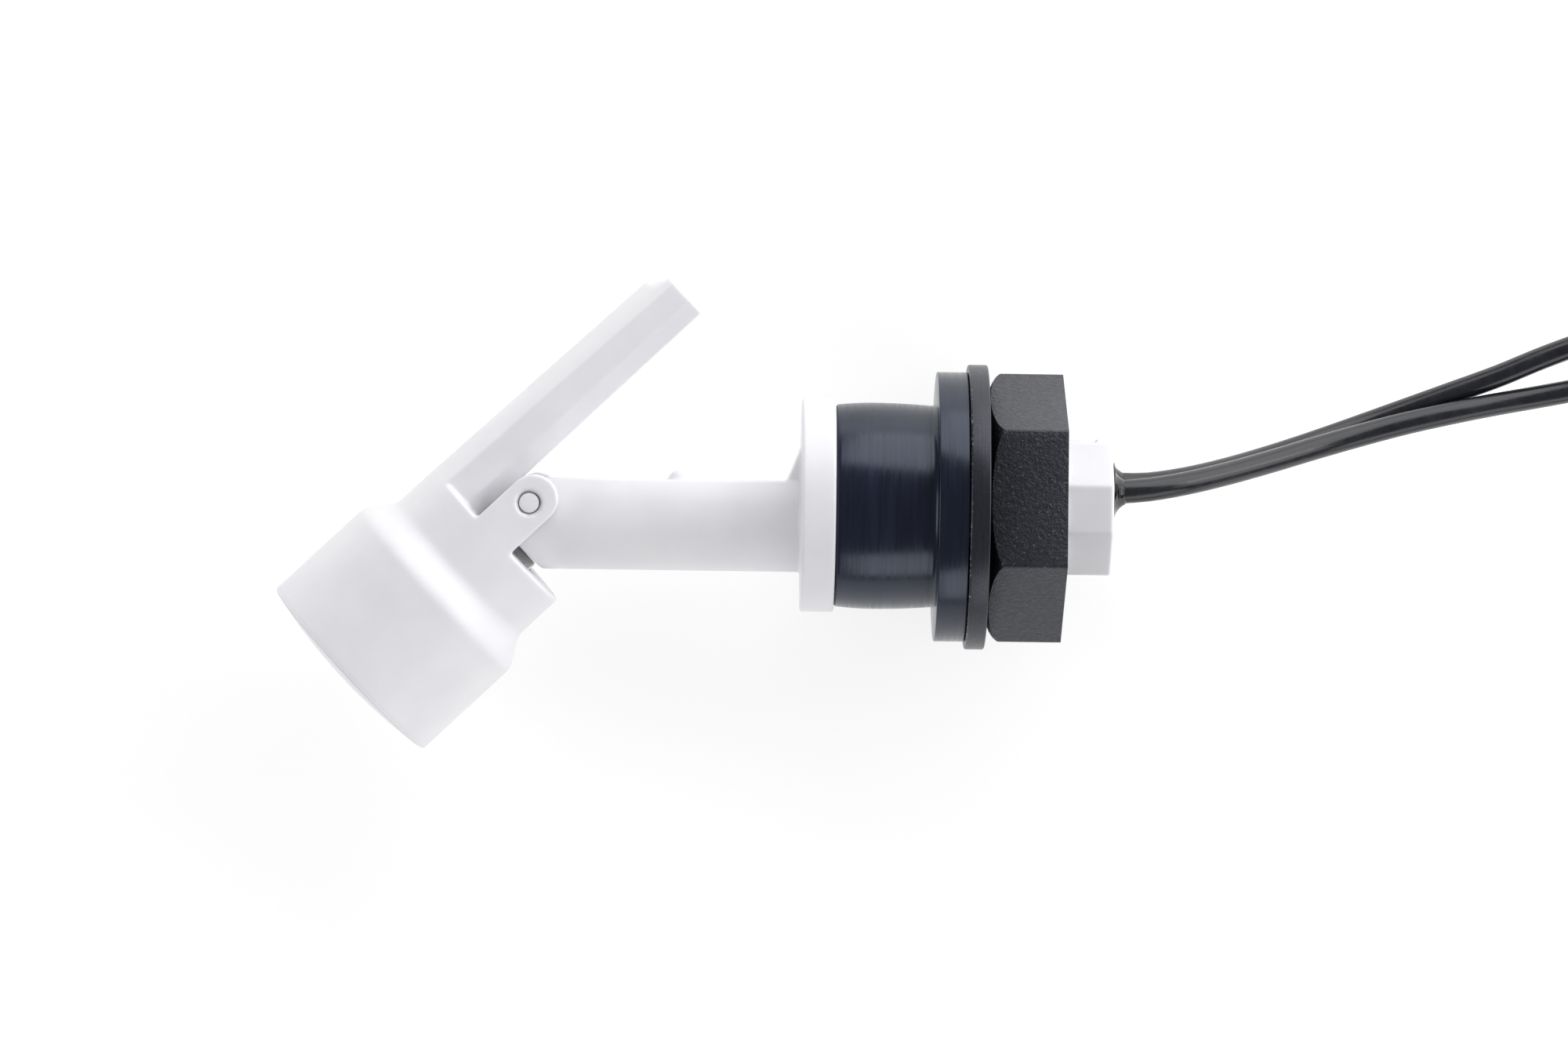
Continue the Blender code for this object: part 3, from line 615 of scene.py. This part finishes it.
def insulation():
    """Satin charcoal insulation with a faint wipe along it."""
    made, tree, shader = new_material("lead_pvc", (0.011, 0.0115, 0.015), 0.24)
    place = place_input(tree)
    soft = noise_node(tree, place, 0.7, 3.0, 0.6)
    fine = noise_node(tree, place, 6.0, 2.0, 0.5)
    tree.links.new(ramp(tree, soft, [(0.3, (0.008, 0.0085, 0.012)), (0.7, (0.015, 0.0155, 0.020))]),
                   shader.inputs["Base Color"])
    tree.links.new(ramp(tree, soft, [(0.3, 0.19), (0.7, 0.30)]), shader.inputs["Roughness"])
    bump(tree, shader, fine, 0.15, 0.02)
    return made


def potting():
    """Glossy black resin with a slow wave."""
    made, tree, shader = new_material("potting_resin", (0.006, 0.006, 0.008), 0.08)
    wave = noise_node(tree, place_input(tree), 0.5, 2.0)
    tree.links.new(ramp(tree, wave, [(0.3, 0.05), (0.7, 0.14)]), shader.inputs["Roughness"])
    bump(tree, shader, wave, 0.2, 0.15)
    return made


def metal(name, colour, roughness, per_mm, metallic=1.0):
    """Metal with a mottle of per_mm spots a millimetre."""
    made, tree, shader = new_material(name, colour, roughness, metallic)
    mottle = noise_node(tree, place_input(tree), per_mm, 3.0, 0.6)
    low, high = roughness * 0.7, min(1.0, roughness * 1.4)
    tree.links.new(ramp(tree, mottle, [(0.3, low), (0.7, high)]), shader.inputs["Roughness"])
    dark = tuple(c * 0.88 for c in colour)
    tree.links.new(ramp(tree, mottle, [(0.3, dark), (0.7, colour)]), shader.inputs["Base Color"])
    bump(tree, shader, mottle, 0.1, 0.02)
    return made


def glass():
    """Pale green glass of the reed switch."""
    made, tree, shader = new_material("reed_tube_glass", (0.62, 0.82, 0.70), 0.05, 0.0, 1.48)
    shader.inputs["Transmission Weight"].default_value = 0.9
    wave = noise_node(tree, place_input(tree), 0.4, 2.0)
    tree.links.new(ramp(tree, wave, [(0.3, 0.02), (0.7, 0.08)]), shader.inputs["Roughness"])
    return made


def plain_plastic(name, colour, roughness):
    """Plastic with a faint grain."""
    made, tree, shader = new_material(name, colour, roughness)
    grain = noise_node(tree, place_input(tree), 4.0, 2.0, 0.6)
    light = tuple(min(1.0, c * 1.3) for c in colour)
    tree.links.new(ramp(tree, grain, [(0.35, colour), (0.65, light)]), shader.inputs["Base Color"])
    bump(tree, shader, grain, 0.2, 0.02)
    return made


# ---------------------------------------------------------------- white mouldings

def stem_section():
    """A round bar with a flat top."""
    edge = math.degrees(math.acos((STEM_TOP - STEM_AXIS_Y) / STEM_RADIUS))
    return arc((STEM_AXIS_Y, 0.0), STEM_RADIUS, edge, 360 - edge, 96)


def nose_outline():
    """The stem from its side: the nose is round about the pivot, then slopes back as the float hangs."""
    brow, nose = 2.40, 4.03
    slope = math.radians(FLOAT_DROOP)
    bottom = STEM_AXIS_Y - STEM_RADIUS
    below, above = bottom - 1, STEM_TOP + 1
    upper = [(PIVOT_X + x, y) for x, y in arc((0, 0), brow, 90, 133, 16)]
    front = [(PIVOT_X + x, y) for x, y in arc((0, 0), nose, 187, 180 + FLOAT_DROOP, 14)]
    foot = (bottom * -math.sin(slope) - nose) / math.cos(slope)
    return [(STEM_END, below), (STEM_END, above), (PIVOT_X, above), *upper, *front,
            (PIVOT_X + foot, bottom), (PIVOT_X + foot, below)]


def disc_outline(start, end, radius, edge, inner):
    """Half section of a disc whose rim has edges of the given radius."""
    left = [(start + edge - p, radius - edge + q) for p, q in arc((0, 0), edge, 0, 90, 5)]
    right = [(end - edge + p, radius - edge + q) for p, q in arc((0, 0), edge, 90, 0, 5)]
    return [(start, inner), *left, *right, (end, inner)]


def make_stem():
    stem = along_x("stem", stem_section(), (-48.0, STEM_END))
    combine(stem, along_z("nose", nose_outline(), (-7.0, 7.0)), "INTERSECT")
    hole(stem, (0, REED_BORE_Y, 0), REED_BORE_RADIUS, (-41.0, STEM_END + 1))
    hole(stem, (PIVOT_X, 0, 0), PIN_RADIUS + 0.05, (-8.0, 8.0), "Z")
    return stem


def make_stem_details():
    """The gusset between stem and flange, and the nub that stops the bar."""
    side = [(-15.9, 2.0), (-13.9, 2.0), (-13.9, 6.6), (FLANGE_X[0], 6.2), (-15.7, STEM_TOP)]
    gusset = along_z("gusset", side, (-GUSSET_HALF_WIDTH, GUSSET_HALF_WIDTH))
    dome = arc((0, 0), NUB_RADIUS, 90, 0, 12)[:-1]
    nub = turned("nub", [(-1.0, 0), (-1.0, NUB_RADIUS), *dome, (NUB_RADIUS, 0)], 64)
    set_place(nub, Matrix.Translation(Vector((NUB_X, STEM_TOP, 0)) * MM) @ TO_Y)
    return gusset, nub


def make_tail():
    """The square tail with chamfered corners, and the key rib in two stretches on its upper face."""
    flat, short = 6.95, 2.5
    outline = [(flat, -short), (flat, short), (short, flat), (-short, flat), (-flat, short), (-flat, -short),
               (-short, -flat), (short, -flat)]
    tail = along_x("tail", rounded(outline, 0.25, 3), TAIL_X)
    hole(tail, (0, 0, 0), WELL_RADIUS, (TAIL_X[0] - 1, TAIL_X[1] + 1.5))
    rib = oblong((5.5, -0.8), (7.35, 0.8))
    return tail, *(along_x("rib", rib, span) for span in ((13.0, 15.7), (16.9, 17.2)))


def ridge(x, angle):
    """Height of the rounded thread at this place, from 0 at its root to 1."""
    wave = 0.5 + 0.5 * math.cos(2 * math.pi * x / THREAD_PITCH - angle)
    return min(1.0, 1.25 * wave)


def threaded(start, end, rows, radius):
    """Outline points from start to end, each with the radius as a function of the angle."""
    places = [start + (end - start) * i / rows for i in range(rows + 1)]
    return [(x, lambda angle, x=x: radius(x, angle)) for x in places]


def make_body(white):
    """Stem, nub, gusset, flange, shank and tail, run together like one moulding."""
    flange = disc_outline(*FLANGE_X, FLANGE_RADIUS, 0.2, 0)[:-1]
    shank = [(FLANGE_X[1], SHANK_RADIUS), (CORE_X[0], SHANK_RADIUS), (CORE_X[0], CORE_RADIUS),
             (CORE_X[1], CORE_RADIUS), (CORE_X[1], WELL_RADIUS), (WELL_FLOOR, WELL_RADIUS), (WELL_FLOOR, 0)]
    body = turned("body_moulding", [*flange, *shank], 256)
    hole(body, (0, REED_BORE_Y, 0), REED_BORE_RADIUS, (FLANGE_X[0] - 0.85, WELL_FLOOR + 1))
    join(body, make_stem(), *make_stem_details(), *make_tail())
    moulded(body, MOULD_GRAIN, MOULD_ROUNDS)
    body.data.materials.append(white)
    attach(body, "switch")
    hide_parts("switch_body")


def make_body_thread(white):
    """The thread, which fades out within a turn at both ends."""
    start, end = THREAD_X
    inner = 7.0

    def radius(x, angle):
        low, high = THREAD_RADII
        fade = min(1.0, (x - start) / THREAD_PITCH, (end - x) / THREAD_PITCH)
        return low + (high - low) * ridge(x, angle) * max(0.0, fade)

    outline = [(start, inner), *threaded(start, end, 100, radius), (end, inner)]
    screw = turned("body_thread", outline, 96, 60.0)
    screw.data.materials.append(white)
    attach(screw, "switch")
    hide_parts("switch_body")


def bar_section(u, radius, highest=NECK_RADIUS):
    """The bar's section: a flat underside with chamfers, and a round back no higher than highest."""
    side, steps = BAR_HALF_WIDTH, 24
    low = [(BAR_FLAT, -side), (BAR_UNDERSIDE, -BAR_FLAT), (BAR_UNDERSIDE, BAR_FLAT), (BAR_FLAT, side)]
    top = []
    for i in range(2 * steps + 1):
        w = side - side * i / steps
        top.append((min(math.sqrt(radius**2 - w**2), highest), w))
    return [(u, v, w) for v, w in reversed(low + top)]


def head_outline():
    """Half section of head and neck, with the cavity; a smooth fall leads from the one to the other."""
    start, shoulder = HEAD_U
    steps, edge = 32, 0.1
    fall = []
    for i in range(steps + 1):
        t = i / steps
        blend = 0.5 - 0.5 * math.cos(math.pi * t)
        radius = HEAD_RADIUS - (HEAD_RADIUS - NECK_RADIUS) * blend
        fall.append((shoulder + (NECK_U[0] - shoulder) * t, radius))
    cavity = [(-9.7, 0), (-9.7, 7.85), (-13.0, 7.85), (-15.0, CAVITY_RADIUS), (start, CAVITY_RADIUS)]
    return [*cavity, (start, HEAD_RADIUS - edge), (start + edge, HEAD_RADIUS), *fall,
            (NECK_U[1] - 2 * edge, NECK_RADIUS), (NECK_U[1], NECK_RADIUS - 2 * edge), (NECK_U[1], 0)]


def make_ears():
    """Both ears, cut from the neck's round, with the pin's bore and a shallow recess at each side."""
    round_radius = NECK_RADIUS - 0.01
    recess_radius, recess_floor = 1.36, 8.85
    ear = [(NECK_U[1] - 1, EAR_HALF_HEIGHT), (NECK_U[1] - 1, -EAR_HALF_HEIGHT)]
    ear += arc((EAR_END - EAR_HALF_HEIGHT, 0), EAR_HALF_HEIGHT, -90, 90, 40)
    ears = along_z("ears", ear, (-10.0, 10.0))
    combine(ears, rod("ears_round", round_radius, (-9.0, 5.0), 256), "INTERSECT")
    gap = oblong((-4.0, -EAR_INNER), (4.0, EAR_INNER))
    combine(ears, along_x("ears_gap", gap, (NECK_U[1], 6.0)), "DIFFERENCE")
    hole(ears, (0, 0, 0), PIN_RADIUS + 0.06, (-12, 12), "Z")
    for span in ((-10.0, -recess_floor), (recess_floor, 10.0)):
        hole(ears, (0, 0, 0), recess_radius, span, "Z")
    return ears


def make_float(white):
    """Float head, neck, ears and bar, with the magnet's pocket and the cavity that the end cap closes."""
    shell = turned("float_moulding", head_outline(), 256)
    ears = make_ears()
    bar = lofted("bar", [bar_section(-6.0, NECK_RADIUS - 0.01), bar_section(24.4, 8.85),
                         bar_section(26.55, 8.8, 7.4)])
    pocket = rod("pocket", 2.1, (-5.2, 2.2), 96)
    set_place(pocket, Matrix.Translation(Vector((-6.2, 0, 0)) * MM) @ TO_Y)
    combine(shell, pocket, "DIFFERENCE")
    join(shell, ears, bar)
    moulded(shell, MOULD_GRAIN, MOULD_ROUNDS)
    set_place(shell, FLOAT_PLACE)
    shell.data.materials.append(white)
    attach(shell, "float")
    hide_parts("float_shell")


def make_end_cap(white):
    """A shallow dome with a skirt over the head's end and a spigot in its cavity."""
    start = HEAD_U[0]
    edge, rim, apex = start - 0.2, HEAD_RADIUS - 0.02, -27.15
    skirt_end, spigot_end, wall = start + 0.22, edge + 2.0, edge + 0.6
    spigot_radius, spigot_bore = 9.8, 8.6
    shoulder, steps = 0.25, 24
    reach = rim - shoulder
    radii = [reach * k / steps for k in range(1, steps)]
    dome = [(apex + (edge - apex) * (r / reach) ** 2, r) for r in radii]
    corner = arc((edge + shoulder, reach), shoulder, 170, 90, 6)
    outline = [(apex, 0), *dome, *corner, (skirt_end, rim), (skirt_end, spigot_radius),
               (spigot_end, spigot_radius), (spigot_end, spigot_bore), (wall, spigot_bore), (wall, 0)]
    cap = turned("end_cap", outline, 256)
    set_place(cap, FLOAT_PLACE)
    cap.data.materials.append(white)
    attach(cap, "float")
    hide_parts("float_end_cap")


def make_pin(white):
    """The pin, whose ends have round edges and a slight crown."""
    half, edge = PIN_HALF_LENGTH, 0.28
    crown = arc((half - edge, PIN_RADIUS - edge), edge, 90, 0, 6)
    right = [*crown[:-1], (half + 0.01, PIN_RADIUS * 0.45), (half + 0.03, 0)]
    outline = [(-x, radius) for x, radius in reversed(right)] + right
    pin = turned("hinge_pin", outline, 64)
    set_place(pin, Matrix.Translation(Vector((PIVOT_X, 0, 0)) * MM) @ TO_Z)
    pin.data.materials.append(white)
    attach(pin, "switch")
    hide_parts("pivot_pin")


# ---------------------------------------------------------------- compression fitting

def make_bush(surface):
    """The sleeve, which is a little barrelled, and its wall flange."""
    widest_x, widest_radius, fall = -6.5, 10.87, 0.2
    first, last, steps = -10.32, -0.5, 34

    def barrel(x):
        reach = 3.7 if x < widest_x else 5.4
        return widest_radius - fall * ((x - widest_x) / reach) ** 2

    rows = [first + (last - first) * k / steps for k in range(steps + 1)]
    front = [(SLEEVE_START, SLIP_BORE), (SLEEVE_START, 10.42), (-10.52, 10.52), (-10.44, 10.60)]
    root = [(-0.22, 10.66), (-0.06, 10.76), (0.0, 10.95)]
    flange = disc_outline(0.0, BUSH_FLANGE_END, BUSH_FLANGE_RADIUS, 0.12, SLIP_BORE)[1:]
    outline = [*front, *((x, barrel(x)) for x in rows), *root, *flange]
    bush = turned("bush_rubber_sleeve", outline, 256)
    bush.data.materials.append(surface)
    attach(bush, "switch")
    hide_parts("compression_bush")


def make_washer(surface):
    washer = turned("washer_disc", disc_outline(*WASHER_X, WASHER_RADIUS, 0.18, SLIP_BORE), 256)
    washer.data.materials.append(surface)
    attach(washer, "washer")
    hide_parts("thrust_washer")


def make_nut(surface):
    """A hexagon with a turned chamfer towards the washer and an inner thread."""
    corner = NUT_FLATS / math.sqrt(3)
    turn = 90.0 - NUT_TURN
    start, end = NUT_X
    hexagon = rounded(arc((0, 0), corner, turn - 30, turn + 270, 5), 0.35, 5)
    nut = along_x("nut_hexagon", hexagon, NUT_X)
    chamfer = [(0.0, 12.15), (0.18, 12.6), (0.45, 13.2), (0.8, 13.75), (1.2, 14.12), (1.5, corner - 0.02)]
    shape = [(start, 0), *((start + depth, radius) for depth, radius in chamfer), (start + 1.6, corner + 1),
             (end - 0.1, corner + 1), (end, corner + 0.8), (end, 0)]
    combine(nut, turned("nut_chamfer", shape, 256), "INTERSECT")
    bevelled(nut, 0.26, 3, 28.0)

    def thread_radius(x, angle):
        low, high = THREAD_RADII
        return low + THREAD_CLEARANCE + (high - low) * ridge(x, angle)

    tool_start, tool_end = start - 0.5, end + 0.5
    outline = [(tool_start, 0), *threaded(tool_start, tool_end, 60, thread_radius), (tool_end, 0)]
    combine(nut, turned("nut_thread", outline, 64), "DIFFERENCE")
    nut.data.materials.append(surface)
    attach(nut, "nut")
    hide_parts("compression_nut")


def make_potting(surface):
    """Resin plug with a domed face that creeps up round each lead."""
    back, face, dome = 11.0, 18.35, 0.35
    lead_climb, lead_fade = 1.4, 0.75
    edge_climb, edge_fade = 0.25, 0.25
    leads = [route[0][1:] for route in (FRONT_ROUTE, REAR_ROUTE)]
    points, faces = [], []
    rings, segments, reach = 26, 96, 4.92
    round_angles = [2 * math.pi * i / segments for i in range(segments)]
    for k in range(rings + 1):
        r = reach * k / rings
        for a in round_angles:
            y, z = r * math.cos(a), r * math.sin(a)
            near = min(math.hypot(y - p, z - q) for p, q in leads)
            climb = lead_climb * math.exp(-max(0.0, near - LEAD_RADIUS) / lead_fade)
            climb += edge_climb * math.exp(-(reach - r) / edge_fade)
            points.append((face + dome * (1 - (r / reach) ** 2) + climb, y, z))
    points += [(back, reach * math.cos(a), reach * math.sin(a)) for a in round_angles]
    for here in range(0, len(points) - segments, segments):
        following = here + segments
        for i in range(segments):
            j = (i + 1) % segments
            faces.append([here + i, here + j, following + j, following + i])
    faces.append([len(points) - segments + i for i in range(segments)])
    plug = new_object("potting_face", mesh_of("potting_face", points, faces, 1e-7), 50.0)
    plug.data.materials.append(surface)
    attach(plug, "switch")
    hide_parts("potting_plug")


def make_tie(surface):
    """A flat band round both coils."""
    low, high = (Vector(corner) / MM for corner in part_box("coil_tie"))
    thick, outer_corner, inner_corner = 0.5, 1.3, 0.85
    outer = rounded(oblong(low.yz, high.yz), outer_corner, 6)
    inside = oblong((low.y + thick, low.z + thick), (high.y - thick, high.z - thick))
    band = along_x("tie_band", outer, (low.x, high.x))
    tool = along_x("tie_inside", rounded(inside, inner_corner, 6), (low.x - 1, high.x + 1))
    combine(band, tool, "DIFFERENCE")
    bevelled(band, 0.12, 2, 30.0)
    band.data.materials.append(surface)
    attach(band, "switch")
    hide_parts("coil_tie")
    return band


# ---------------------------------------------------------------- surroundings

def softbox(name, place, size, radiance):
    """A lit panel that faces the frame's origin, its long side level."""
    data = bpy.data.lights.new(name, "AREA")
    data.shape = "RECTANGLE"
    data.size, data.size_y = size
    data.energy = radiance * math.pi * size[0] * size[1]
    light = bpy.data.objects.new(name, data)
    light.location = place
    light.rotation_euler = (-Vector(place)).to_track_quat("-Z", "Y").to_euler()
    bpy.context.scene.collection.objects.link(light)


def make_table():
    """A pale table that glows, less so in the picture's lower left."""
    made, tree, shader = new_material("table_white", (0.33, 0.33, 0.33), 0.9)
    shader.inputs["Specular IOR Level"].default_value = 0.0
    shader.inputs["Emission Color"].default_value = (1.0, 1.0, 1.0, 1.0)
    along = tree.nodes.new("ShaderNodeVectorMath")
    along.operation = "DOT_PRODUCT"
    along.inputs[1].default_value = (0.8, 0.6, 0.0)
    tree.links.new(place_input(tree), along.inputs[0])
    glow = map_range(tree, along.outputs["Value"], (0.005, 0.060), (0.74, 1.35), "SMOOTHSTEP")
    tree.links.new(glow, shader.inputs["Emission Strength"])
    size, height = 3.0, TABLE_Z * MM - 0.00005
    mesh = bpy.data.meshes.new("table_top")
    corners = [(x, y, height) for x, y in oblong((-size, -size), (size, size))]
    mesh.from_pydata(corners, [], [(0, 1, 2, 3)])
    table = bpy.data.objects.new("table_top", mesh)
    bpy.context.scene.collection.objects.link(table)
    table.data.materials.append(made)


def make_light():
    """Four panels and a dim, cool surround."""
    softbox("upper_softbox", (0.42, 0.66, 0.358), (1.4, 0.78), 2.6)
    softbox("lower_softbox", (0.30, -0.70, 0.32), (0.9, 0.44), 1.9)
    softbox("left_softbox", (-0.80, -0.08, 0.45), (0.6, 0.6), 2.4)
    softbox("right_softbox", (0.90, 0.10, 0.38), (0.6, 0.6), 2.1)
    world = bpy.data.worlds.new("studio")
    world.use_nodes = True
    background = world.node_tree.nodes["Background"]
    background.inputs["Color"].default_value = (0.93, 0.95, 1.0, 1.0)
    background.inputs["Strength"].default_value = 0.26
    bpy.context.scene.world = world
    bpy.context.scene.view_settings.view_transform = "Standard"


def dress_inside(tin):
    """Materials for the CAD solids that stay as they are."""
    magnet = metal("magnet_nickel", (0.93, 0.92, 0.90), 0.38, 1.0, 0.45)
    reed = metal("reed_nickel", (0.72, 0.70, 0.66), 0.16, 1.0)
    inside = {
        magnet: ("float_magnet",),
        reed: ("reed_blade_front", "reed_blade_rear"),
        tin: ("link_wire_front", "link_wire_rear", "crimp_front", "crimp_rear", "conductor_front",
              "conductor_rear"),
        glass(): ("reed_glass",),
        plain_plastic("sleeve_red", (0.55, 0.07, 0.06), 0.5): ("insulating_sleeve",),
    }
    for surface, names in inside.items():
        for name in names:
            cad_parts[name].material_slots[0].material = surface


def main():
    make_camera()
    lead_surface = insulation()
    tin = metal("tinned_strand", (0.74, 0.73, 0.71), 0.32, 2.0)
    white = white_plastic()
    band = make_tie(plain_plastic("tie_black", (0.016, 0.016, 0.018), 0.45))
    make_leads(lead_surface, tin)
    make_body(white)
    make_body_thread(white)
    make_float(white)
    make_end_cap(white)
    make_pin(white)
    make_bush(rubber())
    make_washer(washer_plastic())
    make_nut(nut_plastic())
    make_potting(potting())
    dress_inside(tin)
    make_table()
    make_light()


main()
